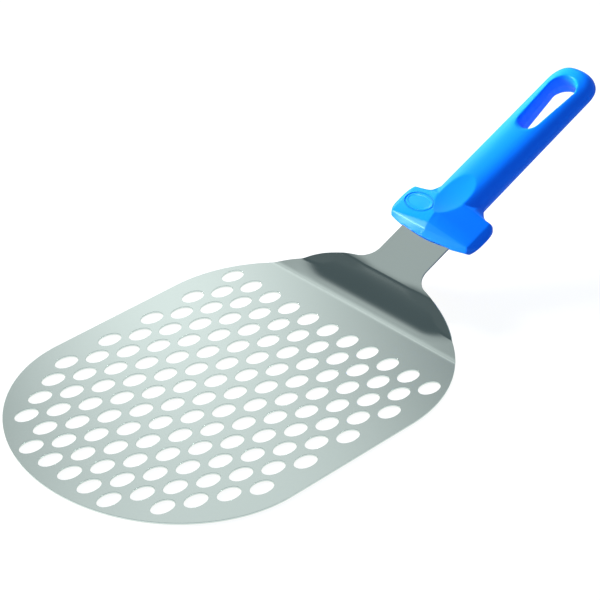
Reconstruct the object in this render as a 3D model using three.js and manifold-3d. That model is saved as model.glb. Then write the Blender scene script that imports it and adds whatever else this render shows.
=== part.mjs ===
// A perforated pizza peel. One stainless sheet is stamped and pressed into the head, ramp, neck and tang,
// and a polypropylene handle is moulded round the tang.
// Millimetres. +X runs from the nose to the handle's end, +Y to the left and +Z up.
// The peel lies on its head at z = 0, with the origin under the middle of its bounding box.

import * as THREE from 'three';
import { mergeVertices } from 'three/addons/utils/BufferGeometryUtils.js';
import Module from 'manifold-3d';

const wasm = await Module();
wasm.setup();

// Sheet and head, in plan
const sheetThickness = 1;
const headHalfWidth = 90.15;
const noseReach = 81.3;
const straightSide = 85.4;
const rearReach = 85.7;
const rearCentreToCrease = 54.9;

// Perforation: oval holes in staggered rows, as far as the rim leaves room
const holePitch = 15;
const holeHalfLength = 7;
const holeHalfWidth = 4.7;
const lastRowToCrease = 26.3;
const rimMargin = 3;
const holeSegments = 14;

// Bends: a tight crease, a ramp that steepens, and a softer bend back into the straight neck
const creaseAngle = THREE.MathUtils.degToRad(16);
const creaseRadius = 6;
const rampRadius = 32.7;
const steepAngle = THREE.MathUtils.degToRad(50.5);
const neckAngle = THREE.MathUtils.degToRad(22.2);
const neckLineRise = 6.2;

// Neck and tang
const neckHalfWidth = 17.4;
const neckFillet = 11.4;
const visibleNeck = 25.5;
const tangShoulder = 10;
const tangTaper = 6;
const tangHalfWidth = 9;
const tangLength = 72;
const tangCorner = 3;
const anchorHoleRadius = 4;
const firstAnchor = 28;
const secondAnchor = 54;

// Fit of the moulding round the tang
const clearance = 0.3;
const mouthRelief = 0.8;
const mouthDepth = 2.5;

// Guard: a cross bar with faceted top and bottom and rounded ends. Its half span ends at the facets' edge
const guardHalfSpan = 28.2;
const endBulge = 4.3;
const frontBow = 4.2;
const faceTopSetback = 3.3;
const faceTopRise = 5.6;
const bevelTopSetback = 7;
const bevelTopRise = 8.2;
const ridgeSetback = 14;
const ridgeRise = 10.2;
const endFaceSetback = 5.8;
const endFaceRise = 2.8;
const endBevelSetback = 6.3;
const endEdgeRise = 3.2;
const guardTopLength = 26.3;
const guardRearLength = 27.2;
const guardFillet = 12;

// Grip: a flattened oval bar that starts inside the guard and ends in a broad round
const handleLength = 142;
const gripStart = 9;
const gripFull = 22;
const gripStartShare = 0.62;
const rootHalfWidth = 15.4;
const rootHalfThickness = 9.4;
const tipHalfWidth = 15.6;
const tipHalfThickness = 7.1;
const gripRoundness = 2.2;
const endRoundLength = 15;
const endRoundness = 2.5;
const endEdgeLength = 5;
const endEdgeRoundness = 2;

// Hanging slot: wider towards the handle's end, drafted to the parting plane, with rounded rims
const slotRootRadius = 5.5;
const slotTipRadius = 8.2;
const slotRootAt = 95.1;
const slotTipAt = 123.3;
const slotDraft = 0.5;
const slotWallRise = 5;
const slotRimRadius = 2.6;

// Thumb dish on the grip and oval panel on the guard's left facet
const dishAt = 31.2;
const dishHalfLength = 15;
const dishHalfWidth = 8.7;
const dishDepth = 1.8;
const dishCrossSag = 0.5;
const dishBall = 10;
const panelAt = 18.1;
const panelAside = 17.7;
const panelHalfLength = 7.2;
const panelHalfWidth = 9.8;
const panelDepth = 0.5;

// Cutting bodies run this far past what they cut
const overrun = 5;

const quarterTurn = Math.PI / 2;
const lerp = THREE.MathUtils.lerp;

// Points on an ellipse arc, both ends included.
function ellipsePoints(centreX, centreY, radiusX, radiusY, from, to, steps) {
  const points = [];
  for (let i = 0; i <= steps; i += 1) {
    const angle = lerp(from, to, i / steps);
    points.push(new THREE.Vector2(centreX + radiusX * Math.cos(angle), centreY + radiusY * Math.sin(angle)));
  }
  return points;
}

// A closed skin over rings of equal count, with a fan at each end to its own tip point.
function loft(rings, startTip, endTip) {
  const count = rings[0].length;
  const positions = [];
  const indices = [];
  for (const point of [startTip, ...rings.flat(), endTip]) positions.push(point.x, point.y, point.z);
  const corner = (ring, i) => 1 + ring * count + (i % count);
  const last = rings.length - 1;
  const end = 1 + rings.length * count;
  for (let i = 0; i < count; i += 1) {
    indices.push(0, corner(0, i + 1), corner(0, i));
    indices.push(end, corner(last, i), corner(last, i + 1));
    for (let ring = 0; ring < last; ring += 1) {
      indices.push(corner(ring, i), corner(ring, i + 1), corner(ring + 1, i));
      indices.push(corner(ring + 1, i), corner(ring, i + 1), corner(ring + 1, i + 1));
    }
  }
  const geometry = new THREE.BufferGeometry();
  geometry.setAttribute('position', new THREE.Float32BufferAttribute(positions, 3));
  geometry.setIndex(indices);
  return geometry;
}

// Solids are joined and cut as manifolds, and come back as plain geometry.
function toSolid(geometry) {
  const bare = geometry.clone();
  bare.deleteAttribute('normal');
  bare.deleteAttribute('uv');
  const merged = mergeVertices(bare);
  return new wasm.Manifold(
    new wasm.Mesh({
      numProp: 3,
      vertProperties: new Float32Array(merged.attributes.position.array),
      triVerts: new Uint32Array(merged.index.array),
    })
  );
}

function toGeometry(solid) {
  const mesh = solid.getMesh();
  const geometry = new THREE.BufferGeometry();
  geometry.setAttribute('position', new THREE.BufferAttribute(new Float32Array(mesh.vertProperties), 3));
  geometry.setIndex(new THREE.BufferAttribute(new Uint32Array(mesh.triVerts), 1));
  geometry.computeVertexNormals();
  return geometry;
}

// Side profile of the sheet's upper face. It is flat to the crease, whose corner is at x = 0.
// Each bend is an arc between two slopes, and the last one closes onto the neck's straight line.
const creaseStart = -creaseRadius * Math.tan(creaseAngle / 2);

function bendArc(start, radius, from, to) {
  const sense = Math.sign(to - from);
  const pointAt = (angle) => ({
    x: start.x + sense * radius * (Math.sin(angle) - Math.sin(from)),
    z: start.z + sense * radius * (Math.cos(from) - Math.cos(angle)),
    angle,
  });
  return { length: radius * Math.abs(to - from), from, to, pointAt };
}

function sheetBends() {
  const crease = bendArc({ x: creaseStart, z: sheetThickness }, creaseRadius, 0, creaseAngle);
  const ramp = bendArc(crease.pointAt(creaseAngle), rampRadius, creaseAngle, steepAngle);
  const top = ramp.pointAt(steepAngle);
  const neckLine = sheetThickness + neckLineRise + top.x * Math.tan(neckAngle);
  const drop = Math.cos(neckAngle) - Math.cos(steepAngle);
  const run = Math.sin(steepAngle) - Math.sin(neckAngle);
  const easeRadius = (neckLine - top.z) / (drop - run * Math.tan(neckAngle));
  const ease = bendArc(top, easeRadius, steepAngle, neckAngle);
  return [crease, ramp, ease];
}

const bends = sheetBends();
const bentLength = bends.reduce((sum, bend) => sum + bend.length, 0);
const neckStart = creaseStart + bentLength;
const guardFront = neckStart + visibleNeck;

// The sheet's upper face at a distance along the sheet, counted like x and followed round the bends.
function sheetAt(along) {
  let left = along - creaseStart;
  for (const bend of bends) {
    if (left <= bend.length) return bend.pointAt(lerp(bend.from, bend.to, left / bend.length));
    left -= bend.length;
  }
  const foot = bends[bends.length - 1].pointAt(neckAngle);
  return { x: foot.x + left * Math.cos(neckAngle), z: foot.z + left * Math.sin(neckAngle), angle: neckAngle };
}

// Where the head's rear curve meets the fillet into the neck: there the curve, moved out by the fillet's
// radius, is at the fillet centre's distance from the axis.
const rearCentre = -rearCentreToCrease;
const noseCentre = rearCentre - straightSide;

function filletTangent() {
  const steps = 40;
  const filletSide = neckHalfWidth + neckFillet;
  const moved = (turn) => {
    const normal = new THREE.Vector2(Math.cos(turn) / rearReach, Math.sin(turn) / headHalfWidth).normalize();
    const along = rearCentre + rearReach * Math.cos(turn) + neckFillet * normal.x;
    const side = headHalfWidth * Math.sin(turn) + neckFillet * normal.y;
    return { along, side, normal };
  };
  let low = 0;
  let high = quarterTurn;
  for (let i = 0; i < steps; i += 1) {
    const middle = (low + high) / 2;
    if (moved(middle).side < filletSide) low = middle;
    else high = middle;
  }
  return { turn: low, ...moved(low) };
}

// Half outline of the sheet from the crease to the tang's end: x along the sheet, y from the axis.
function bentOutline() {
  const rearSteps = 10;
  const filletSteps = 7;
  const cornerSteps = 3;
  const tangent = filletTangent();
  const creaseTurn = Math.acos((creaseStart - rearCentre) / rearReach);
  const rear = ellipsePoints(rearCentre, 0, rearReach, headHalfWidth, creaseTurn, tangent.turn, rearSteps);
  const filletFrom = Math.atan2(-tangent.normal.y, -tangent.normal.x);
  const filletSide = neckHalfWidth + neckFillet;
  const fillet = ellipsePoints(
    tangent.along, filletSide, neckFillet, neckFillet, filletFrom, -quarterTurn, filletSteps
  );
  const shoulder = new THREE.Vector2(guardFront + tangShoulder, neckHalfWidth);
  const tangStart = new THREE.Vector2(guardFront + tangShoulder + tangTaper, tangHalfWidth);
  const tangEnd = guardFront + tangLength;
  const corner = ellipsePoints(
    tangEnd - tangCorner, tangHalfWidth - tangCorner, tangCorner, tangCorner, quarterTurn, 0, cornerSteps
  );
  return [...rear, ...fillet.slice(1), shoulder, tangStart, ...corner];
}

function flatHead() {
  const noseSteps = 40;
  const rearSteps = 14;
  const creaseTurn = Math.acos((creaseStart - rearCentre) / rearReach);
  const nose = ellipsePoints(noseCentre, 0, noseReach, headHalfWidth, quarterTurn, 3 * quarterTurn, noseSteps);
  const right = ellipsePoints(rearCentre, 0, rearReach, headHalfWidth, -quarterTurn, -creaseTurn, rearSteps);
  const left = ellipsePoints(rearCentre, 0, rearReach, headHalfWidth, creaseTurn, quarterTurn, rearSteps);
  const shape = new THREE.Shape([...nose, ...right, ...left]);
  shape.holes = perforation();
  return new THREE.ExtrudeGeometry(shape, { depth: sheetThickness, bevelEnabled: false });
}

// Half width of the flat head at x.
function headSide(x) {
  if (x < noseCentre) return headHalfWidth * Math.sqrt(Math.max(0, 1 - ((x - noseCentre) / noseReach) ** 2));
  if (x < rearCentre) return headHalfWidth;
  return headHalfWidth * Math.sqrt(Math.max(0, 1 - ((x - rearCentre) / rearReach) ** 2));
}

// A hole is punched only where it stays clear of the rim by the margin, all the way round.
function holeFits(x, y) {
  const probes = ellipsePoints(x, y, holeHalfLength + rimMargin, holeHalfWidth + rimMargin, 0, 4 * quarterTurn, 24);
  return probes.every((probe) => Math.abs(probe.y) < headSide(probe.x));
}

function perforation() {
  const holes = [];
  const noseTip = noseCentre - noseReach;
  const halfRow = Math.ceil(headHalfWidth / holePitch);
  for (let row = 0; -lastRowToCrease - row * holePitch > noseTip; row += 1) {
    const x = -lastRowToCrease - row * holePitch;
    const stagger = (row % 2) * (holePitch / 2);
    for (let place = -halfRow; place <= halfRow; place += 1) {
      const y = place * holePitch + stagger;
      if (holeFits(x, y)) holes.push(ovalHole(x, y));
    }
  }
  return holes;
}

function ovalHole(x, y) {
  const around = ellipsePoints(x, y, holeHalfLength, holeHalfWidth, 0, 4 * quarterTurn, holeSegments);
  return new THREE.Path(around.slice(1));
}

// Ramp, neck and tang: a strip of the sheet that follows the side profile.
function bentStrip() {
  const stepsPerBend = [3, 8, 5];
  const outline = bentOutline();
  const stations = outline.map((point) => point.x);
  let along = creaseStart;
  bends.forEach((bend, i) => {
    for (let step = 1; step <= stepsPerBend[i]; step += 1) {
      stations.push(along + (bend.length * step) / stepsPerBend[i]);
    }
    along += bend.length;
  });
  stations.sort((a, b) => a - b);
  const rings = stations.map((station) => stripSection(station, outline));
  const middle = (ring) => new THREE.Vector3().addVectors(ring[0], ring[2]).divideScalar(2);
  return loft(rings, middle(rings[0]), middle(rings[rings.length - 1]));
}

function stripSection(station, outline) {
  const next = Math.max(1, outline.findIndex((point) => point.x >= station));
  const before = outline[next - 1];
  const after = outline[next];
  const share = (station - before.x) / (after.x - before.x);
  const side = lerp(before.y, after.y, share);
  const top = sheetAt(station);
  const under = {
    x: top.x + sheetThickness * Math.sin(top.angle),
    z: top.z - sheetThickness * Math.cos(top.angle),
  };
  return [
    new THREE.Vector3(top.x, side, top.z),
    new THREE.Vector3(top.x, -side, top.z),
    new THREE.Vector3(under.x, -side, under.z),
    new THREE.Vector3(under.x, side, under.z),
  ];
}

// The hole in the tang that a peg of the moulding fills, as a cutting body square to the tang.
function anchorCutter(fromGuard) {
  const top = sheetAt(guardFront + fromGuard);
  const segments = 20;
  const drill = new THREE.CylinderGeometry(
    anchorHoleRadius, anchorHoleRadius, sheetThickness + 2 * overrun, segments
  );
  drill.rotateX(quarterTurn);
  drill.rotateY(-neckAngle);
  drill.translate(top.x, 0, top.z);
  return toSolid(drill);
}

function buildBlade() {
  const sheet = toSolid(flatHead()).add(toSolid(bentStrip()));
  return toGeometry(sheet.subtract(anchorCutter(firstAnchor)).subtract(anchorCutter(secondAnchor)));
}

// Handle frame: x along the neck from the guard's front edge, z square to the tang from its middle plane.
// The moulding is alike above and below that plane, which is its parting plane.

// Section of the guard at a distance from the axis: front face, bevel, facet and rear, then the same below.
function guardSection(aside) {
  const share = Math.min(1, aside / guardHalfSpan);
  const upper = [
    [lerp(faceTopSetback, endFaceSetback, share), lerp(faceTopRise, endFaceRise, share)],
    [lerp(bevelTopSetback, endBevelSetback, share), lerp(bevelTopRise, endEdgeRise, share)],
    [ridgeSetback, lerp(ridgeRise, endEdgeRise, share)],
    [guardTopLength, lerp(ridgeRise, endEdgeRise, share)],
  ];
  const lower = upper.map(([x, z]) => [x, -z]).reverse();
  return [[frontBow * share * share, 0], ...upper, [guardRear(aside), 0], ...lower];
}

// The guard's rear edge is straight at its ends and runs into the grip's side in a hollow fillet.
function guardRear(aside) {
  const inside = THREE.MathUtils.clamp(rootHalfWidth + guardFillet - aside, 0, guardFillet);
  return guardRearLength + guardFillet - Math.sqrt(guardFillet ** 2 - inside ** 2);
}

function guardBody() {
  const bulgeSteps = 5;
  const filletSteps = 5;
  const kink = THREE.MathUtils.degToRad(25);
  const asides = [0, rootHalfWidth / 2];
  for (let i = 0; i <= filletSteps; i += 1) {
    const turn = (quarterTurn * i) / filletSteps;
    asides.push(rootHalfWidth + guardFillet * (1 - Math.cos(turn)));
  }
  asides.push(guardHalfSpan);
  const half = asides.map((aside) => ({ aside, section: guardSection(aside) }));
  const endMiddle = (endFaceSetback + guardTopLength) / 2;
  for (let i = 1; i < bulgeSteps; i += 1) {
    const turn = lerp(kink, quarterTurn, i / bulgeSteps);
    const shrink = Math.cos(turn) / Math.cos(kink);
    const out = (Math.sin(turn) - Math.sin(kink)) / (1 - Math.sin(kink));
    const section = guardSection(guardHalfSpan).map(([x, z]) => [lerp(endMiddle, x, shrink), z * shrink]);
    half.push({ aside: guardHalfSpan + endBulge * out, section });
  }
  const ring = (side) => ({ aside, section }) => section.map(([x, z]) => new THREE.Vector3(x, side * aside, z));
  const rings = [...half.slice(1).reverse().map(ring(-1)), ...half.map(ring(1))];
  const tip = guardHalfSpan + endBulge;
  return loft(rings, new THREE.Vector3(endMiddle, -tip, 0), new THREE.Vector3(endMiddle, tip, 0));
}

// A quarter of a superellipse: 1 at share 0, falling to 0 at share 1.
function falloff(share, roundness) {
  return (1 - Math.max(0, share) ** roundness) ** (1 / roundness);
}

// Section of the grip: a flattened superellipse, which swells out of the guard and closes at the end.
function gripSection(x) {
  const segments = 28;
  const share = (x - gripStart) / (handleLength - gripStart);
  const entry = Math.min(1, (x - gripStart) / (gripFull - gripStart));
  const swell = lerp(gripStartShare, 1, Math.sin(entry * quarterTurn));
  const planEnd = falloff((x - handleLength + endRoundLength) / endRoundLength, endRoundness);
  const sideEnd = falloff((x - handleLength + endEdgeLength) / endEdgeLength, endEdgeRoundness);
  const halfWidth = lerp(rootHalfWidth, tipHalfWidth, share) * swell * planEnd;
  const halfThickness = lerp(rootHalfThickness, tipHalfThickness, share) * swell * sideEnd;
  const ring = [];
  for (let i = 0; i < segments; i += 1) {
    const turn = (4 * quarterTurn * i) / segments;
    const across = Math.sign(Math.cos(turn)) * Math.abs(Math.cos(turn)) ** (2 / gripRoundness);
    const up = Math.sign(Math.sin(turn)) * Math.abs(Math.sin(turn)) ** (2 / gripRoundness);
    ring.push(new THREE.Vector3(x, halfWidth * across, halfThickness * up));
  }
  return ring;
}

function gripBody() {
  const swellSteps = 3;
  const endSteps = 9;
  const roundStart = handleLength - endRoundLength;
  const places = [];
  for (let i = 0; i <= swellSteps; i += 1) places.push(lerp(gripStart, gripFull, i / swellSteps));
  places.push((gripFull + roundStart) / 2);
  for (let i = 0; i < endSteps; i += 1) {
    places.push(roundStart + endRoundLength * Math.sin((quarterTurn * i) / endSteps));
  }
  return loft(
    places.map(gripSection),
    new THREE.Vector3(gripStart, 0, 0),
    new THREE.Vector3(handleLength, 0, 0)
  );
}

// Outline of the hanging slot, opened out by a margin: two arcs and their common tangents.
function slotOutline(margin) {
  const tipSteps = 12;
  const rootSteps = 8;
  const tangentTurn = Math.acos((slotRootRadius - slotTipRadius) / (slotTipAt - slotRootAt));
  const tipRadius = slotTipRadius + margin;
  const rootRadius = slotRootRadius + margin;
  const tip = ellipsePoints(slotTipAt, 0, tipRadius, tipRadius, -tangentTurn, tangentTurn, tipSteps);
  const root = ellipsePoints(
    slotRootAt, 0, rootRadius, rootRadius, tangentTurn, 4 * quarterTurn - tangentTurn, rootSteps
  );
  return [...tip, ...root];
}

function slotCutter() {
  const rimSteps = 4;
  const levels = [{ z: 0, margin: 0 }, { z: slotWallRise, margin: slotDraft }];
  for (let i = 1; i <= rimSteps; i += 1) {
    const turn = (quarterTurn * i) / rimSteps;
    const margin = slotDraft + slotRimRadius * (1 - Math.cos(turn));
    levels.push({ z: slotWallRise + slotRimRadius * Math.sin(turn), margin });
  }
  levels.push({ z: slotWallRise + slotRimRadius + overrun, margin: slotDraft + slotRimRadius });
  const below = levels.slice(1).reverse().map(({ z, margin }) => ({ z: -z, margin }));
  const all = [...below, ...levels];
  const rings = all.map(({ z, margin }) => slotOutline(margin).map((p) => new THREE.Vector3(p.x, p.y, z)));
  const middle = (slotRootAt + slotTipAt) / 2;
  const reach = all[all.length - 1].z;
  return toSolid(loft(rings, new THREE.Vector3(middle, 0, -reach), new THREE.Vector3(middle, 0, reach)));
}

// The room that the tang takes in the moulding, less the pegs that pass through its anchor holes.
// Its mouth stands a little clear of the neck's two edges.
function tangPocket() {
  const mouthSide = neckHalfWidth + mouthRelief;
  const neckSide = neckHalfWidth + clearance;
  const tangSide = tangHalfWidth + clearance;
  const half = [
    new THREE.Vector2(-overrun, mouthSide),
    new THREE.Vector2(mouthDepth, mouthSide),
    new THREE.Vector2(mouthDepth, neckSide),
    new THREE.Vector2(tangShoulder + clearance, neckSide),
    new THREE.Vector2(tangShoulder + tangTaper + clearance, tangSide),
    new THREE.Vector2(tangLength + clearance, tangSide),
  ];
  const mirrored = half.map((point) => new THREE.Vector2(point.x, -point.y));
  const outline = new THREE.Shape([...mirrored, ...half.reverse()]);
  const height = sheetThickness + 2 * clearance;
  const room = new THREE.ExtrudeGeometry(outline, { depth: height, bevelEnabled: false });
  room.translate(0, 0, -height / 2);
  return toSolid(room).subtract(anchorPeg(firstAnchor)).subtract(anchorPeg(secondAnchor));
}

function anchorPeg(at) {
  const segments = 20;
  const radius = anchorHoleRadius - clearance;
  const peg = new THREE.CylinderGeometry(radius, radius, 2 * overrun, segments);
  peg.rotateX(quarterTurn);
  peg.translate(at, 0, 0);
  return toSolid(peg);
}

// Thumb dish: a shallow ball-shaped cut in the grip's crown, just behind the guard.
function dishCutter() {
  const aroundSegments = 24;
  const downSegments = 16;
  const spanFor = (halfSpan, sag) => halfSpan / Math.sqrt(1 - (1 - sag / dishBall) ** 2);
  const ball = new THREE.SphereGeometry(1, aroundSegments, downSegments);
  ball.rotateX(quarterTurn);
  ball.scale(spanFor(dishHalfLength, dishDepth), spanFor(dishHalfWidth, dishCrossSag), dishBall);
  const share = (dishAt - gripStart) / (handleLength - gripStart);
  const crown = lerp(rootHalfThickness, tipHalfThickness, share);
  ball.translate(dishAt, 0, crown - dishDepth + dishBall);
  return toSolid(ball);
}

// Oval panel: a flat recess in the guard's left facet, square to the facet.
function panelCutter() {
  const segments = 28;
  const tilt = Math.atan((ridgeRise - endEdgeRise) / guardHalfSpan);
  const around = ellipsePoints(0, 0, panelHalfLength, panelHalfWidth, 0, 4 * quarterTurn, segments);
  const oval = new THREE.ExtrudeGeometry(new THREE.Shape(around.slice(1)), {
    depth: panelDepth + overrun,
    bevelEnabled: false,
  });
  oval.translate(0, 0, -panelDepth);
  oval.rotateX(-tilt);
  oval.translate(panelAt, panelAside, lerp(ridgeRise, endEdgeRise, panelAside / guardHalfSpan));
  return toSolid(oval);
}

function buildHandle() {
  const body = toSolid(guardBody()).add(toSolid(gripBody()));
  const cutters = [slotCutter(), tangPocket(), dishCutter(), panelCutter()];
  return toGeometry(cutters.reduce((solid, cutter) => solid.subtract(cutter), body));
}

const stainless = new THREE.MeshStandardMaterial({ color: 0xb9c4c0, roughness: 0.38, metalness: 1 });
const polypropylene = new THREE.MeshStandardMaterial({ color: 0x1478f5, roughness: 0.4, metalness: 0 });

const blade = new THREE.Mesh(buildBlade(), stainless);
blade.name = 'blade';

// The handle sits on the neck, with its middle plane in the middle of the sheet.
const handle = new THREE.Mesh(buildHandle(), polypropylene);
handle.name = 'handle';
const handleSeat = sheetAt(guardFront);
handle.position.set(
  handleSeat.x + (sheetThickness / 2) * Math.sin(neckAngle),
  0,
  handleSeat.z - (sheetThickness / 2) * Math.cos(neckAngle)
);
handle.rotation.y = -neckAngle;

const assembly = new THREE.Group();
assembly.add(blade, handle);
assembly.updateMatrixWorld(true);
const bounds = new THREE.Box3().setFromObject(assembly, true);
assembly.position.x = -(bounds.min.x + bounds.max.x) / 2;

const peel = new THREE.Group();
peel.add(assembly);

export default peel;
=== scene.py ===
from math import acos, asin, atan2, cos, inf, pi, radians, sin, sqrt, tan

import bpy
import numpy as np
from mathutils import Matrix, Vector
from mathutils.geometry import delaunay_2d_cdt


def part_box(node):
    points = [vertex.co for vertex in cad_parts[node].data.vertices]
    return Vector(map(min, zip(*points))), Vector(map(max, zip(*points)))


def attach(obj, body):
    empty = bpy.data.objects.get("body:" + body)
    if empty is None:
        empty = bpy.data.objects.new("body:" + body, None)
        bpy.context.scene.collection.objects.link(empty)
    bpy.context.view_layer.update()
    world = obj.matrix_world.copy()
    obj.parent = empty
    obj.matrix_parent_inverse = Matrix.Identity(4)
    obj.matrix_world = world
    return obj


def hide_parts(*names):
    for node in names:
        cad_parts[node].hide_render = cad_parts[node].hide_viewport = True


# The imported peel: a blade and a handle, in metres. Lengths below are in millimetres until a mesh is made.
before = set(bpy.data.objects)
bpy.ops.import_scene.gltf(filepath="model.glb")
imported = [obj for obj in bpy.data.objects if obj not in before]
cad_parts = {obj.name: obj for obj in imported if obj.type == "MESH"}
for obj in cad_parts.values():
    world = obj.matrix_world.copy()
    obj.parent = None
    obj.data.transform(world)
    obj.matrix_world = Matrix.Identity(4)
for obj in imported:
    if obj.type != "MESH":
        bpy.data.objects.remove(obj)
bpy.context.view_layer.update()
mm = 0.001

# The blade is one stainless sheet, 1 mm thick. It is blanked, punched with oval holes, deburred and pressed:
# a crease, a ramp that steepens and a softer bend into the straight neck. The tang runs on inside the handle.
# Places along it are taken from the line of the crease, where the planes on its two sides would meet.
sheet_thickness = 1.0
edge_round = 0.12

head_half_width = 90.15
nose_reach = 81.3
straight_side = 85.4
rear_reach = 85.7
rear_centre = -54.9
nose_centre = rear_centre - straight_side
crease_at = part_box("blade")[0].x / mm + nose_reach - nose_centre

hole_pitch = 15.0
hole_half_length, hole_half_width = 7.0, 4.7
last_row_to_crease = 26.3
rim_margin = 3.0

# The press shapes the middle of the ramp and its two flanks a little differently. Each change is eased in
# between an inner and an outer distance from the axis.
crease_angle, crease_radius = radians(16), 6.0
ramp_radius = 31.7
middle_steep, edge_steep = radians(54), radians(49)
steep_inner, steep_outer = 12.0, 25.0
flank_angle, flank_radius, flank_flattening = radians(19.7), 4.0, 0.97
flank_inner, flank_outer = 36.0, 58.0
foot_radius, approach_radius = 3.3, 55.0
middle_foot, edge_foot = radians(25.2), radians(26.8)
foot_inner, foot_outer = 8.0, 21.0
neck_angle, neck_line_rise = radians(22.2), 6.2
crease_start = -crease_radius * tan(crease_angle / 2)

neck_half_width, neck_fillet = 17.4, 11.4
guard_seat = 47.6
tang_shoulder, tang_taper = 10.0, 6.0
tang_length, tang_half_width, tang_corner = 72.0, 9.0, 3.0


def between(low, high, share):
    return low + (high - low) * share


def ease(value, low, high):
    """Zero up to the low limit, one from the high limit, and smooth between them."""
    share = min(1.0, max(0.0, (value - low) / (high - low)))
    return share * share * (3 - 2 * share)


def side_arcs(aside):
    """The pressed profile at a distance from the axis, as arcs: where each starts, and its curvature.

    In the order of the list these are the crease, the ramp, the flatter arc and the tighter bend of the
    flanks, the steep line, the foot and its softer approach to the neck, and the neck. In the middle of the
    sheet the ramp's own arc runs on to the steep line, so the two arcs of the flanks have no length there."""
    flank = ease(aside, flank_inner, flank_outer)
    steep = between(middle_steep, edge_steep, ease(aside, steep_inner, steep_outer))
    foot = between(middle_foot, edge_foot, ease(aside, foot_inner, foot_outer))

    centre_x = crease_start + (crease_radius - ramp_radius) * sin(crease_angle)
    centre_z = crease_radius + (ramp_radius - crease_radius) * cos(crease_angle)
    ramp_x = centre_x + ramp_radius * sin(crease_angle)
    steep_x, steep_z = centre_x + ramp_radius * sin(steep), centre_z - ramp_radius * cos(steep)

    first = between(crease_angle, flank_angle, flank)
    radius = ramp_radius / (1 - flank_flattening * flank)
    ahead = ramp_radius - flank_radius + (radius - ramp_radius) * cos(steep - first)
    turned = steep - acos(min(1.0, ahead / (radius - flank_radius)))
    first_x = centre_x + ramp_radius * sin(first)
    turned_x = first_x + radius * (sin(turned) - sin(first))
    line_x = turned_x + flank_radius * (sin(steep) - sin(turned))

    corner_x = (neck_line_rise - steep_z + steep_x * tan(steep)) / (tan(steep) - tan(neck_angle))
    bend = steep - neck_angle
    reach = foot_radius + (approach_radius - foot_radius) * cos(steep - foot) - approach_radius * cos(bend)
    neck_x = corner_x + reach / sin(bend) * cos(neck_angle)
    approach_x = neck_x - approach_radius * (sin(foot) - sin(neck_angle))
    foot_x = approach_x - foot_radius * (sin(steep) - sin(foot))
    return [(crease_start, 1 / crease_radius), (ramp_x, 1 / ramp_radius), (first_x, 1 / radius),
            (turned_x, 1 / flank_radius), (line_x, 0), (foot_x, -1 / foot_radius),
            (approach_x, -1 / approach_radius), (neck_x, 0), (inf, 0)]


def side_profile(x, aside=0.0):
    """Height of the sheet's upper face over that of the head, and its slope, at x behind the crease."""
    arcs = side_arcs(aside)
    height, sine = 0.0, 0.0
    for (start, curvature), (end, _) in zip(arcs, arcs[1:]):
        step = min(x, end) - start
        if step <= 0:
            continue
        turned = sine + step * curvature
        if curvature:
            height += (sqrt(1 - sine * sine) - sqrt(1 - turned * turned)) / curvature
        else:
            height += step * sine / sqrt(1 - sine * sine)
        sine = turned
    return height, asin(sine)


# The outline is blanked before the sheet is bent, so it is drawn by the distance along the sheet. The profile
# near the edges of the neck gives that distance for each x.
blank_aside = 20.0
profile_end, profile_points = 140.0, 3000
plan_x = np.linspace(crease_start, profile_end, profile_points)
plan_slope = np.array([side_profile(x, blank_aside)[1] for x in plan_x])
plan_along = crease_start + np.cumsum(np.diff(plan_x, prepend=crease_start) / np.cos(plan_slope))
guard_front = np.interp(guard_seat, plan_x, plan_along)


def rim_outline():
    """Half outline of the blank from the nose's tip to the tang's end: points and outward normals."""
    def arc(cx, cy, rx, ry, turns):
        return [(cx + rx * cos(t), cy + ry * sin(t), cos(t) / rx, sin(t) / ry) for t in turns]

    nose_points, straight_points, flat_points, bent_points = 61, 12, 36, 100
    hollow_points, neck_points, corner_points, halvings = 32, 9, 7, 40

    # Where the neck's fillet leaves the oval of the head, found by halving.
    hollow_y = neck_half_width + neck_fillet
    low, high = 0.0, pi / 2
    for _ in range(halvings):
        fillet_turn = (low + high) / 2
        normal = Vector((cos(fillet_turn) / rear_reach, sin(fillet_turn) / head_half_width)).normalized()
        too_near = head_half_width * sin(fillet_turn) + neck_fillet * normal.y < hollow_y
        low, high = (fillet_turn, high) if too_near else (low, fillet_turn)

    nose = arc(nose_centre, 0, nose_reach, head_half_width, np.linspace(pi, pi / 2, nose_points))
    straight = [(x, head_half_width, 0, 1)
                for x in np.linspace(nose_centre, rear_centre, straight_points)[1:-1]]
    crease_turn = acos((crease_start - rear_centre) / rear_reach)
    turns = np.append(np.linspace(pi / 2, crease_turn, flat_points)[:-1],
                      np.linspace(crease_turn, fillet_turn, bent_points))
    rear = arc(rear_centre, 0, rear_reach, head_half_width, turns)

    hollow_x = rear_centre + rear_reach * cos(fillet_turn) + neck_fillet * normal.x
    turns = np.linspace(atan2(-normal.y, -normal.x), -pi / 2, hollow_points)[1:]
    hollow = [(x, y, -nx, -ny) for x, y, nx, ny in arc(hollow_x, hollow_y, neck_fillet, neck_fillet, turns)]

    shoulder, end = guard_front + tang_shoulder, guard_front + tang_length
    neck = [(x, neck_half_width, 0, 1) for x in np.linspace(hollow[-1][0], shoulder, neck_points)[1:]]
    taper = [(shoulder + tang_taper, tang_half_width, 0, 1)]
    corner = (end - tang_corner, tang_half_width - tang_corner)
    tip = arc(*corner, tang_corner, tang_corner, np.linspace(pi / 2, 0, corner_points))
    return nose + straight + rear + hollow + neck + taper + tip


def place(along, y, depth):
    """A point of the pressed sheet, from its place on the flat blank and its depth under the upper face."""
    if along <= crease_start:
        return (crease_at + along, y, sheet_thickness - depth)
    x = np.interp(along, plan_along, plan_x)
    height, slope = side_profile(x, abs(y))
    return (crease_at + x + depth * sin(slope), y, sheet_thickness + height - depth * cos(slope))


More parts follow.
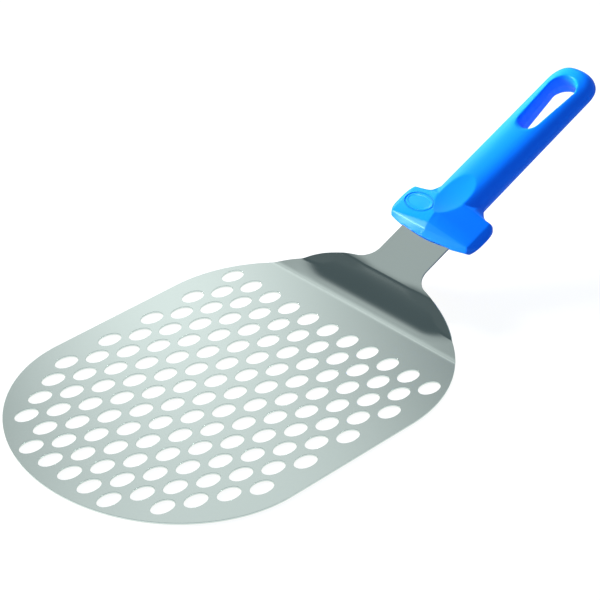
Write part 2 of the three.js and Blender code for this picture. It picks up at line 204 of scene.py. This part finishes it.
def head_side(x):
    """Half width of the head at x."""
    centre, reach = (nose_centre, nose_reach) if x < nose_centre else (rear_centre, rear_reach)
    if nose_centre <= x <= rear_centre:
        return head_half_width
    return head_half_width * sqrt(max(0.0, 1 - ((x - centre) / reach) ** 2))


def hole_centres():
    """Staggered rows of holes, wherever a hole stays clear of the rim by the margin."""
    centres, row, tries = [], 0, 24
    reach_x, reach_y = hole_half_length + rim_margin, hole_half_width + rim_margin
    turns = np.linspace(0, 2 * pi, tries, endpoint=False)
    half_row = int(head_half_width / hole_pitch) + 1
    while last_row_to_crease + row * hole_pitch < nose_reach - nose_centre:
        x = -last_row_to_crease - row * hole_pitch
        for place_in_row in range(-half_row, half_row + 1):
            y = (place_in_row + (row % 2) / 2) * hole_pitch
            if all(abs(y + reach_y * sin(t)) < head_side(x + reach_x * cos(t)) for t in turns):
                centres.append((x, y))
        row += 1
    return centres


def blade_mesh():
    """The pressed sheet: upper and lower faces, and rounded edges round the rim and every hole."""
    points, faces = [], []
    hole_points, columns = 32, 80
    inside_without_holes, same_point = 2, 1e-6
    upper_levels = [(edge_round * (1 - sin(t)), edge_round * (1 - cos(t))) for t in (0, pi / 4, pi / 2)]
    levels = upper_levels + [(inset, sheet_thickness - depth) for inset, depth in reversed(upper_levels)]

    def edge_loop(outline):
        """Strips down one cut edge. The outline runs with the steel on its left, so they face out."""
        start, count = len(points), len(outline)
        for inset, depth in levels:
            for x, y, nx, ny in outline:
                size = sqrt(nx * nx + ny * ny)
                points.append(place(x - inset * nx / size, y - inset * ny / size, depth))
        for level in range(len(levels) - 1):
            for i in range(count):
                a, b = start + level * count + i, start + level * count + (i + 1) % count
                faces.append((b, a, a + count, b + count))
        under = start + (len(levels) - 1) * count
        return range(start, start + count), range(under, under + count)

    half = rim_outline()
    left = half[1:]
    rim = [half[0]] + [(x, -y, nx, -ny) for x, y, nx, ny in left]
    rim += [(x, y, nx, ny) for x, y, nx, ny in reversed(left)]
    rim_top, rim_under = edge_loop(rim)

    holes = []
    turns = np.linspace(2 * pi, 0, hole_points, endpoint=False)
    for x, y in hole_centres():
        holes.append(edge_loop([(x + hole_half_length * cos(t), y + hole_half_width * sin(t),
                                 -cos(t) / hole_half_length, -sin(t) / hole_half_width) for t in turns]))

    bent = [i for i, p in enumerate(rim) if p[0] > crease_start]
    right_end, left_end = bent[0] - 1, bent[-1] + 1
    rows = (left_end - right_end) // 2
    for upper in (True, False):
        ring = rim_top if upper else rim_under
        depth = 0.0 if upper else sheet_thickness

        # The bent part: rows of quads from side to side, and one last face at the tang's end.
        grid = []
        for row in range(rows):
            x, right_y = rim[right_end + row][:2]
            left_y = rim[left_end - row][1]
            line = [ring[right_end + row]]
            for column in range(1, columns):
                y = between(right_y, left_y, column / columns) * (1 - edge_round / abs(right_y))
                points.append(place(x, y, depth))
                line.append(len(points) - 1)
            grid.append(line + [ring[left_end - row]])
        for near, far in zip(grid, grid[1:]):
            for column in range(columns):
                quad = (near[column], far[column], far[column + 1], near[column + 1])
                faces.append(quad if upper else quad[::-1])
        end = grid[-1][:1] + [ring[right_end + rows], ring[left_end - rows]] + grid[-1][:0:-1]
        faces.append(end if upper else end[::-1])

        # The flat head: triangles between the rim, the first row and the holes.
        outer = list(ring[:right_end + 1]) + grid[0][1:-1] + list(ring[left_end:])
        loops = [outer] + [list(top if upper else under) for top, under in holes]
        used = [i for loop in loops for i in loop]
        number = {i: n for n, i in enumerate(used)}
        flat = [Vector(points[i][:2]) for i in used]
        fills = [[number[i] for i in loop] for loop in loops]
        sheet = delaunay_2d_cdt(flat, [], fills, inside_without_holes, same_point)
        triangles, origin = sheet[2:4]
        for triangle in triangles:
            corners = [used[origin[n][0]] for n in triangle]
            a, b, c = (Vector(points[i][:2]) for i in corners)
            anticlockwise = (b - a).cross(c - a) > 0
            faces.append(corners if anticlockwise == upper else corners[::-1])
    return points, faces


def new_piece(name, points, faces):
    """A mesh object from points in millimetres."""
    mesh = bpy.data.meshes.new(name)
    mesh.from_pydata([[c * mm for c in p] for p in points], [], faces)
    mesh.validate()
    mesh.update()
    piece = bpy.data.objects.new(name, mesh)
    bpy.context.scene.collection.objects.link(piece)
    return piece


def shade_smooth(piece, edge_angle):
    """Smooth shading, with the edges sharper than an angle left crisp."""
    for polygon in piece.data.polygons:
        polygon.use_smooth = True
    piece.data.set_sharp_from_angle(angle=edge_angle)


blade = new_piece("peel_blade", *blade_mesh())
shade_smooth(blade, radians(20))


def to_linear(code):
    """An sRGB hex colour as the linear colour that the shaders take."""
    parts = [int(code[i:i + 2], 16) / 255 for i in (1, 3, 5)]
    return [c / 12.92 if c <= 0.04045 else ((c + 0.055) / 1.055) ** 2.4 for c in parts] + [1.0]


def add(tree, kind, values=None, links=None, **settings):
    """Adds a shader node with its settings, the values of its sockets and the links into them."""
    node = tree.nodes.new(kind)
    for name, value in settings.items():
        setattr(node, name, value)
    for name, value in (values or {}).items():
        node.inputs[name].default_value = value
    for name, source in (links or {}).items():
        tree.links.new(source, node.inputs[name])
    return node


def new_material(name):
    material = bpy.data.materials.new(name)
    material.use_nodes = True
    material.node_tree.nodes.clear()
    return material, material.node_tree


# Stainless steel, cold rolled and brushed to a satin finish along the peel. The sheet reads as a greenish
# grey mirror that is a little soft: it shows broad light and dark shapes, faint clouds from the rolls, and
# hairlines only close up. The real hairlines are about a twentieth of a millimetre wide, and are drawn
# coarser so that they show.
cloud_width = 45.5
hairline_length, hairline_width = 25.0, 0.385
stainless, tree = new_material("satin_stainless")
spot = add(tree, "ShaderNodeTexCoord").outputs["Object"]
cloud = add(tree, "ShaderNodeTexNoise", {"Scale": 1 / (cloud_width * mm), "Detail": 3.0, "Roughness": 0.5},
            {"Vector": spot}).outputs["Fac"]
hairline_size = (hairline_length, hairline_width, hairline_length)
brushed = add(tree, "ShaderNodeMapping", {"Scale": [1 / (size * mm) for size in hairline_size]},
              {"Vector": spot})
hairlines = add(tree, "ShaderNodeTexNoise", {"Scale": 1.0, "Detail": 4.0, "Roughness": 0.65},
                {"Vector": brushed.outputs["Vector"]})
relief = add(tree, "ShaderNodeBump", {"Strength": 0.05, "Distance": 0.02 * mm},
             {"Height": hairlines.outputs["Fac"]})
tint = add(tree, "ShaderNodeMix", {6: to_linear("#D0DDD8"), 7: to_linear("#D6E2DD")}, {0: cloud},
           data_type="RGBA")
polish = add(tree, "ShaderNodeMapRange", {"To Min": 0.14, "To Max": 0.17}, {"Value": cloud})
steel = add(tree, "ShaderNodeBsdfPrincipled", {"Metallic": 1.0},
            {"Base Color": tint.outputs[2], "Roughness": polish.outputs["Result"],
             "Normal": relief.outputs["Normal"]})
add(tree, "ShaderNodeOutputMaterial", None, {"Surface": steel.outputs["BSDF"]})
blade.data.materials.append(stainless)
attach(blade, "root")
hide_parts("blade")

# The handle is one moulding of polypropylene round the tang: a cross guard with faceted faces and rounded
# ends, a flattened oval grip, a thumb dish and a long hanging slot. Its mould parts in the middle plane of the
# sheet. Sizes are in the handle's own frame: x along the neck from the guard's front, z square to the sheet.
guard_half_span, front_bow = 28.2, 4.2
face_top_at, face_top_rise = 3.3, 5.6
bevel_top_at, bevel_top_rise = 7.0, 8.2
ridge_at, ridge_rise = 14.0, 10.2
end_face_at, end_face_rise = 5.8, 2.8
end_bevel_at, end_bevel_rise = 6.3, 3.2
guard_top_length, guard_rear_length = 26.3, 27.2
guard_fillet = 12.0
end_bulge, end_bulge_kink, end_bulge_fall = 4.3, radians(25), 0.68

handle_length = 141.99
grip_start, grip_full, grip_start_share = 9.0, 22.0, 0.62
root_half_width, tip_half_width = 15.4, 15.6
root_half_thickness, tip_half_thickness = 9.4, 7.1
grip_roundness = 2.2
end_round_length, end_round_power = 15.0, 2.5
end_edge_length = 5.0

slot_root_at, slot_root_radius = 95.1, 5.5
slot_tip_at, slot_tip_radius = 123.3, 8.2
slot_wall_rise, slot_draft = 5.0, 0.5
slot_rim_radius = 2.6

dish_at, dish_half_length, dish_half_width = 31.2, 15.0, 8.7
dish_depth, dish_cross_sag, dish_ball = 1.8, 0.5, 10.0

mouth_depth, mouth_relief, mouth_gap = 2.5, 0.8, 0.05

panel_at, panel_aside, panel_turn = 16.9, 15.8, radians(8)
panel_half_length, panel_half_width = 6.5, 12.1
groove_width, groove_depth = 1.1, 0.5
panel_rim_width, panel_rim_sunk = 1.0, 0.12
panel_slope_width, panel_pad_sunk, panel_pad_ring = 0.3, 0.35, 2.0

# How far the cutting bodies stand out past the faces that they cut.
past_surface, past_facet = 5.0, 2.0


def loft(rings, first_tip, last_tip):
    """A closed skin over rings of points, with a fan to a tip at each end."""
    count, last = len(rings[0]), 1 + (len(rings) - 1) * len(rings[0])
    points = [first_tip] + [p for ring in rings for p in ring] + [last_tip]
    faces = []
    for i in range(count):
        j = (i + 1) % count
        faces += [(0, 1 + j, 1 + i), (len(points) - 1, last + i, last + j)]
        for a in range(1, last, count):
            faces.append((a + i, a + j, a + count + j, a + count + i))
    return points, faces


def guard_section(aside):
    """Section of the guard at a distance from the axis: front face, bevel, facet and rear, on both sides."""
    share = min(1.0, aside / guard_half_span)
    upper = [(between(face_top_at, end_face_at, share), between(face_top_rise, end_face_rise, share)),
             (between(bevel_top_at, end_bevel_at, share), between(bevel_top_rise, end_bevel_rise, share)),
             (ridge_at, between(ridge_rise, end_bevel_rise, share)),
             (guard_top_length, between(ridge_rise, end_bevel_rise, share))]
    inside = min(guard_fillet, max(0.0, root_half_width + guard_fillet - aside))
    rear = guard_rear_length + guard_fillet - sqrt(guard_fillet ** 2 - inside ** 2)
    lower = [(x, -z) for x, z in reversed(upper)]
    return [(front_bow * share * share, 0.0)] + upper + [(rear, 0.0)] + lower


def guard_mesh():
    """The cross guard as sections from end to end, which shrink round the bulge of each end."""
    middle_sections, fillet_sections, bulge_sections = 6, 12, 20
    half = [(aside, guard_section(aside)) for aside in np.linspace(0, root_half_width, middle_sections)]
    for turn in np.linspace(0, pi / 2, fillet_sections)[1:]:
        aside = root_half_width + guard_fillet * (1 - cos(turn))
        half.append((aside, guard_section(aside)))
    last = guard_section(guard_half_span)
    half.append((guard_half_span, last))
    kink, middle = end_bulge_kink, (end_face_at + guard_top_length) / 2
    for turn in np.linspace(kink, pi / 2, bulge_sections)[1:-1]:
        shrink, out = cos(turn) / cos(kink), (sin(turn) - sin(kink)) / (1 - sin(kink))
        lower = (1 - out) ** end_bulge_fall
        section = [(between(middle, x, shrink), z * lower) for x, z in last]
        half.append((guard_half_span + end_bulge * out, section))
    rings = [[(x, -aside, z) for x, z in section] for aside, section in reversed(half[1:])]
    rings += [[(x, aside, z) for x, z in section] for aside, section in half]
    tip = guard_half_span + end_bulge
    return loft(rings, (middle, -tip, 0), (middle, tip, 0))


def grip_section(x):
    """Flattened superellipse, which swells out of the guard and closes at the handle's end."""
    share = (x - grip_start) / (handle_length - grip_start)
    swelling = min(1.0, (x - grip_start) / (grip_full - grip_start))
    swell = between(grip_start_share, 1.0, sin(swelling * pi / 2))
    into_round = max(0.0, (x - handle_length) / end_round_length + 1)
    into_edge = max(0.0, (x - handle_length) / end_edge_length + 1)
    plan_end = (1 - into_round ** end_round_power) ** (1 / end_round_power)
    side_end = sqrt(1 - into_edge ** 2)
    half_width = between(root_half_width, tip_half_width, share) * swell * plan_end
    half_thickness = between(root_half_thickness, tip_half_thickness, share) * swell * side_end
    ring, ring_points = [], 96
    for turn in np.linspace(0, 2 * pi, ring_points, endpoint=False):
        across, up = cos(turn), sin(turn)
        across = np.sign(across) * abs(across) ** (2 / grip_roundness)
        up = np.sign(up) * abs(up) ** (2 / grip_roundness)
        ring.append((x, half_width * across, half_thickness * up))
    return ring


def grip_mesh():
    """The grip as sections from inside the guard to the handle's end."""
    swell_sections, even_sections, round_sections = 9, 20, 30
    round_start = handle_length - end_round_length
    places = list(np.linspace(grip_start, grip_full, swell_sections))
    places += list(np.linspace(grip_full, round_start, even_sections))[1:]
    turns = np.linspace(0, pi / 2, round_sections)[1:-1]
    places += [round_start + end_round_length * sin(t) for t in turns]
    return loft([grip_section(x) for x in places], (grip_start, 0, 0), (handle_length, 0, 0))


def slot_mesh():
    """The hanging slot as a cutting body, drafted both ways from the middle plane and flared at its rims."""
    rim_levels, tip_points, root_points = 9, 40, 28
    tangent = acos((slot_root_radius - slot_tip_radius) / (slot_tip_at - slot_root_at))
    levels = [(0.0, 0.0), (slot_wall_rise, slot_draft)]
    for turn in np.linspace(0, pi / 2, rim_levels)[1:]:
        levels.append((slot_wall_rise + slot_rim_radius * sin(turn),
                       slot_draft + slot_rim_radius * (1 - cos(turn))))
    levels.append((levels[-1][0] + past_surface, levels[-1][1]))
    rings = []
    for z, margin in [(-z, margin) for z, margin in reversed(levels[1:])] + levels:
        tip_radius, root_radius = slot_tip_radius + margin, slot_root_radius + margin
        tip = [(slot_tip_at + tip_radius * cos(t), tip_radius * sin(t), z)
               for t in np.linspace(-tangent, tangent, tip_points)]
        root = [(slot_root_at + root_radius * cos(t), root_radius * sin(t), z)
                for t in np.linspace(tangent, 2 * pi - tangent, root_points)]
        rings.append(tip + root)
    middle, reach = (slot_root_at + slot_tip_at) / 2, levels[-1][0]
    return loft(rings, (middle, 0, -reach), (middle, 0, reach))


def dish_mesh():
    """The thumb dish as a cutting body: a long flattened ball that dips into the grip's crown."""
    def half_size(half_span, sag):
        return half_span / sqrt(1 - (1 - sag / dish_ball) ** 2)

    length, width = half_size(dish_half_length, dish_depth), half_size(dish_half_width, dish_cross_sag)
    share = (dish_at - grip_start) / (handle_length - grip_start)
    centre = between(root_half_thickness, tip_half_thickness, share) - dish_depth + dish_ball
    ring_count, ring_points = 40, 72
    turns = np.linspace(0, 2 * pi, ring_points, endpoint=False)
    rings = []
    for fall in np.linspace(0, pi, ring_count)[1:-1]:
        rings.append([(dish_at + length * sin(fall) * cos(t), width * sin(fall) * sin(t),
                       centre - dish_ball * cos(fall)) for t in turns])
    return loft(rings, (dish_at, 0, centre - dish_ball), (dish_at, 0, centre + dish_ball))


def mouth_mesh():
    """The relief where the neck enters the guard, a little wider than the neck."""
    side, rise = neck_half_width + mouth_relief, sheet_thickness / 2 + mouth_gap
    rings = [[(x, side, rise), (x, -side, rise), (x, -side, -rise), (x, side, -rise)]
             for x in (-past_surface, mouth_depth)]
    return loft(rings, (-past_surface, 0, 0), (mouth_depth, 0, 0))


def panel_mesh():
    """The oval panel on the left facet as a cutting body that follows it: a groove, a rim and a sunk pad."""
    def at(along, across, depth):
        x = panel_at + along * cos(panel_turn) + across * sin(panel_turn)
        aside = panel_aside + across * cos(panel_turn) - along * sin(panel_turn)
        places, rises = zip(*guard_section(aside)[1:5])
        return x, aside, np.interp(x, places, rises) - depth

    rim_end = groove_width + panel_rim_width
    levels = [(0.0, -past_facet), (0.0, groove_depth), (groove_width, groove_depth),
              (groove_width, panel_rim_sunk), (rim_end, panel_rim_sunk),
              (rim_end + panel_slope_width, panel_pad_sunk), (rim_end + panel_pad_ring, panel_pad_sunk)]
    rings, ring_points = [], 80
    turns = np.linspace(0, 2 * pi, ring_points, endpoint=False)
    for inset, depth in reversed(levels):
        half_length, half_width = panel_half_length - inset, panel_half_width - inset
        rings.append([at(half_length * cos(t), half_width * sin(t), depth) for t in turns])
    return loft(rings, at(0, 0, panel_pad_sunk), at(0, 0, -past_facet))


# The bodies are joined and cut, the skin is drawn over with fine even faces, and smoothing breaks its edges
# as a moulded part's are. The panel is cut last, so that its groove stays crisp.
handle = new_piece("peel_handle", *guard_mesh())
grip_tool, slot_tool = new_piece("grip_tool", *grip_mesh()), new_piece("slot_tool", *slot_mesh())
dish_tool, mouth_tool = new_piece("dish_tool", *dish_mesh()), new_piece("mouth_tool", *mouth_mesh())
panel_tool = new_piece("panel_tool", *panel_mesh())


def boolean(operation, tool):
    cut = handle.modifiers.new(tool.name, "BOOLEAN")
    cut.operation, cut.object, cut.solver = operation, tool, "EXACT"


boolean("UNION", grip_tool)
boolean("DIFFERENCE", slot_tool)
boolean("DIFFERENCE", dish_tool)
boolean("DIFFERENCE", mouth_tool)
skin = handle.modifiers.new("skin", "REMESH")
skin.mode, skin.voxel_size = "VOXEL", 0.45 * mm
broken_edges = handle.modifiers.new("broken_edges", "SMOOTH")
broken_edges.factor, broken_edges.iterations = 0.5, 9
boolean("DIFFERENCE", panel_tool)
depsgraph = bpy.context.evaluated_depsgraph_get()
moulded = bpy.data.meshes.new_from_object(handle.evaluated_get(depsgraph))
handle.modifiers.clear()
handle.data = moulded
for tool in (grip_tool, slot_tool, dish_tool, mouth_tool, panel_tool):
    bpy.data.objects.remove(tool)

# Seat of the handle on the neck, in the middle of the sheet's thickness.
half_sheet = sheet_thickness / 2
line_rise = sheet_thickness + neck_line_rise + guard_seat * tan(neck_angle)
seat = Vector((crease_at + guard_seat + half_sheet * sin(neck_angle), 0,
               line_rise - half_sheet * cos(neck_angle)))
handle.data.transform(Matrix.Translation(seat * mm) @ Matrix.Rotation(-neck_angle, 4, "Y"))
shade_smooth(handle, radians(35))

# Polypropylene, dyed a saturated blue and moulded in a finely eroded tool: a satin skin, and a broad soft
# highlight along each edge. The real grain is about a tenth of a millimetre, and is drawn coarser to show.
flow_width = 28.6
grain_width = 0.25
polypropylene, tree = new_material("moulded_blue_polypropylene")
spot = add(tree, "ShaderNodeTexCoord").outputs["Object"]
flow = add(tree, "ShaderNodeTexNoise", {"Scale": 1 / (flow_width * mm), "Detail": 2.0},
           {"Vector": spot}).outputs["Fac"]
pits = add(tree, "ShaderNodeTexNoise", {"Scale": 1 / (grain_width * mm), "Detail": 2.0, "Roughness": 0.6},
           {"Vector": spot})
grain = add(tree, "ShaderNodeBump", {"Strength": 0.12, "Distance": 0.03 * mm},
            {"Height": pits.outputs["Fac"]})
dye = add(tree, "ShaderNodeMix", {6: to_linear("#0D7EF6"), 7: to_linear("#1086FF")}, {0: flow},
          data_type="RGBA")
satin = add(tree, "ShaderNodeMapRange", {"To Min": 0.33, "To Max": 0.41}, {"Value": flow})
plastic = add(tree, "ShaderNodeBsdfPrincipled", {"IOR": 1.49, "Specular Tint": to_linear("#B3EDFF")},
              {"Base Color": dye.outputs[2], "Roughness": satin.outputs["Result"],
               "Normal": grain.outputs["Normal"]})
add(tree, "ShaderNodeOutputMaterial", None, {"Surface": plastic.outputs["BSDF"]})
handle.data.materials.clear()
handle.data.materials.append(polypropylene)
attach(handle, "root")
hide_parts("handle")

# Floor: a plain matt white sweep that the head lies on, and it keeps a soft shadow of the peel. The camera
# sees it white, and so do the walls of the holes. In mirrors it glows white under the head, which is painted
# light, and past the head it is painted dim, a painted shade that stands for the dark room round it.
floor_half_size, floor_drop = 4000.0, 0.05
# The first is the glow that the camera sees, and also the painted glow under the head in mirrors; the second
# is the painted shade of the floor in mirrors past the head.
floor_white, painted_floor_dim = 0.94, 0.05
dim_past_crease = 70.0
corners = [(x * floor_half_size, y * floor_half_size, -floor_drop)
           for x, y in ((-1, -1), (1, -1), (1, 1), (-1, 1))]
floor = new_piece("floor", corners, [(0, 1, 2, 3)])
sweep, tree = new_material("white_sweep")


def sees_backdrop(tree):
    """The kinds of ray, and one for those that show the backdrop: from the camera or through glass."""
    rays = add(tree, "ShaderNodeLightPath").outputs
    clear = add(tree, "ShaderNodeMath", None, {0: rays["Is Camera Ray"], 1: rays["Is Transmission Ray"]},
                operation="MAXIMUM")
    return rays, clear.outputs[0]


rays, clear = sees_backdrop(tree)
shown = add(tree, "ShaderNodeMath", None, {0: clear, 1: rays["Is Glossy Ray"]}, operation="MAXIMUM")
spot = add(tree, "ShaderNodeTexCoord").outputs["Object"]
along = add(tree, "ShaderNodeSeparateXYZ", None, {0: spot}).outputs[0]
# Painted light and shade for mirrors: the floor glows white under the head and fades to a painted dim glow
# past the crease, whatever the lamps put there.
painted_mirror_glow = add(tree, "ShaderNodeMapRange",
                 {"From Min": crease_at * mm, "From Max": (crease_at + dim_past_crease) * mm,
                  "To Min": floor_white, "To Max": painted_floor_dim}, {"Value": along})
white = add(tree, "ShaderNodeMath", {1: floor_white}, {0: clear}, operation="MULTIPLY")
level = add(tree, "ShaderNodeMath", None, {0: white.outputs[0], 1: painted_mirror_glow.outputs["Result"]},
            operation="MAXIMUM")
matt = add(tree, "ShaderNodeBsdfDiffuse", {"Color": to_linear("#E7E7E7")})
shaded = add(tree, "ShaderNodeBsdfDiffuse", {"Color": to_linear("#7C7C7C")})
glow = add(tree, "ShaderNodeEmission", {"Color": to_linear("#FFFDF7")}, {"Strength": level.outputs[0]})
bright = add(tree, "ShaderNodeAddShader", None, {0: shaded.outputs[0], 1: glow.outputs[0]})
paper = add(tree, "ShaderNodeMixShader", None,
            {0: shown.outputs[0], 1: matt.outputs[0], 2: bright.outputs[0]})
add(tree, "ShaderNodeOutputMaterial", None, {"Surface": paper.outputs[0]})
floor.data.materials.append(sweep)

# Studio: a dark room with soft panels behind the peel, which the sheet mirrors, pale walls out of their
# reach, and an even cool fill. Directions are in degrees round +Z from +X, and above the floor.
world = bpy.data.worlds.new("studio")
bpy.context.scene.world = world
world.use_nodes = True
tree = world.node_tree
tree.nodes.clear()
ray = add(tree, "ShaderNodeTexCoord").outputs["Generated"]


def direction(azimuth, elevation):
    a, e = radians(azimuth), radians(elevation)
    return Vector((cos(a) * cos(e), sin(a) * cos(e), sin(e)))


def facing(azimuth, elevation):
    """Cosine of the angle between a ray and a direction."""
    dot = add(tree, "ShaderNodeVectorMath", {1: direction(azimuth, elevation)}, {0: ray},
              operation="DOT_PRODUCT")
    return dot.outputs["Value"]


def soft_panel(azimuth, elevation, spread, brightness):
    """A round panel of light that fades from its middle over the angle of its spread."""
    sharpness = 1 / radians(spread) ** 2
    fall = add(tree, "ShaderNodeMath", {1: sharpness, 2: -sharpness}, {0: facing(azimuth, elevation)},
               operation="MULTIPLY_ADD")
    fade = add(tree, "ShaderNodeMath", None, {0: fall.outputs[0]}, operation="EXPONENT")
    shine = add(tree, "ShaderNodeMath", {1: brightness}, {0: fade.outputs[0]}, operation="MULTIPLY")
    return shine.outputs[0]


mirrored = soft_panel(49.6, 32.5, 3.4, 1.25)
for panel in (soft_panel(43.6, 40.9, 3.5, 0.83), soft_panel(53.6, 42.2, 2.4, 0.85),
              soft_panel(57.5, 46.5, 3.5, 0.6), soft_panel(69.1, 51.2, 4.2, 0.85),
              soft_panel(86.7, 55.3, 3.5, 0.5), soft_panel(70, 14, 8, 2.2)):
    mirrored = add(tree, "ShaderNodeMath", None, {0: mirrored, 1: panel}, operation="ADD").outputs[0]
walls = add(tree, "ShaderNodeMapRange", {"From Min": cos(radians(52)), "From Max": cos(radians(70)),
                                         "To Min": 0.122, "To Max": 0.636},
            {"Value": facing(95, 45)}, interpolation_type="SMOOTHSTEP")

rays, clear = sees_backdrop(tree)
fill = add(tree, "ShaderNodeBackground", {"Color": to_linear("#4FA9FF"), "Strength": 0.57})
room = add(tree, "ShaderNodeBackground", {"Color": to_linear("#E1F8FF")},
           {"Strength": walls.outputs["Result"]})
panels = add(tree, "ShaderNodeBackground", {"Color": to_linear("#FFFFFF")}, {"Strength": mirrored})
in_gloss = add(tree, "ShaderNodeAddShader", None, {0: room.outputs[0], 1: panels.outputs[0]})
backdrop = add(tree, "ShaderNodeBackground", {"Color": to_linear("#FFFFFF"), "Strength": 1.0})
around = add(tree, "ShaderNodeMixShader", None,
             {0: rays["Is Glossy Ray"], 1: fill.outputs[0], 2: in_gloss.outputs[0]})
final = add(tree, "ShaderNodeMixShader", None, {0: clear, 1: around.outputs[0], 2: backdrop.outputs[0]})
add(tree, "ShaderNodeOutputWorld", None, {"Surface": final.outputs[0]})


# Lamps: a low key on the guard's left, a small one over the grip, and a strip that only draws the highlight
# along the guard's bevel. The first two are kept out of mirrors, so the steel shows the studio alone.
def softbox(name, target, azimuth, elevation, distance, size, irradiance, in_mirrors):
    """A square lamp aimed at a point. Its power is set so that a white card there would shine that bright."""
    light = bpy.data.lights.new(name, "AREA")
    light.shape, light.size = "SQUARE", size
    light.energy = irradiance * pi * pi * distance ** 2
    lamp = bpy.data.objects.new(name, light)
    lamp.location = target + direction(azimuth, elevation) * distance
    lamp.rotation_euler = direction(azimuth, elevation).to_track_quat("Z", "Y").to_euler()
    lamp.visible_glossy, lamp.visible_camera = in_mirrors, False
    bpy.context.scene.collection.objects.link(lamp)


guard_middle, grip_middle = Vector((0.09, 0, 0.03)), Vector((0.15, 0, 0.06))
softbox("key_left", guard_middle, 128, 10, 1.3, 0.5, 1.4, False)
softbox("grip_light", grip_middle, 82, 36, 0.2, 0.06, 2.2, False)
softbox("bevel_strip", guard_middle, 132, 4, 1.5, 0.16, 0.8, True)

# Camera: the photograph's own viewpoint, 1.3 m off on a long lens and level, found from the perspective of
# the rows of holes.
lens = bpy.data.cameras.new("camera")
lens.lens, lens.sensor_width, lens.clip_start, lens.clip_end = 141.4, 36.0, 0.05, 20.0
camera = bpy.data.objects.new("camera", lens)
viewpoint = Vector((crease_at - 771.22, -742.46, 713.85))
look = direction(45.713, -33.405)
side = Vector((look.y, -look.x, 0)).normalized()
turn = Matrix((side, side.cross(look), -look)).transposed()
camera.matrix_world = Matrix.Translation(viewpoint * mm) @ turn.to_4x4()
bpy.context.scene.collection.objects.link(camera)
bpy.context.scene.camera = camera

bpy.context.scene.view_settings.view_transform = "Standard"
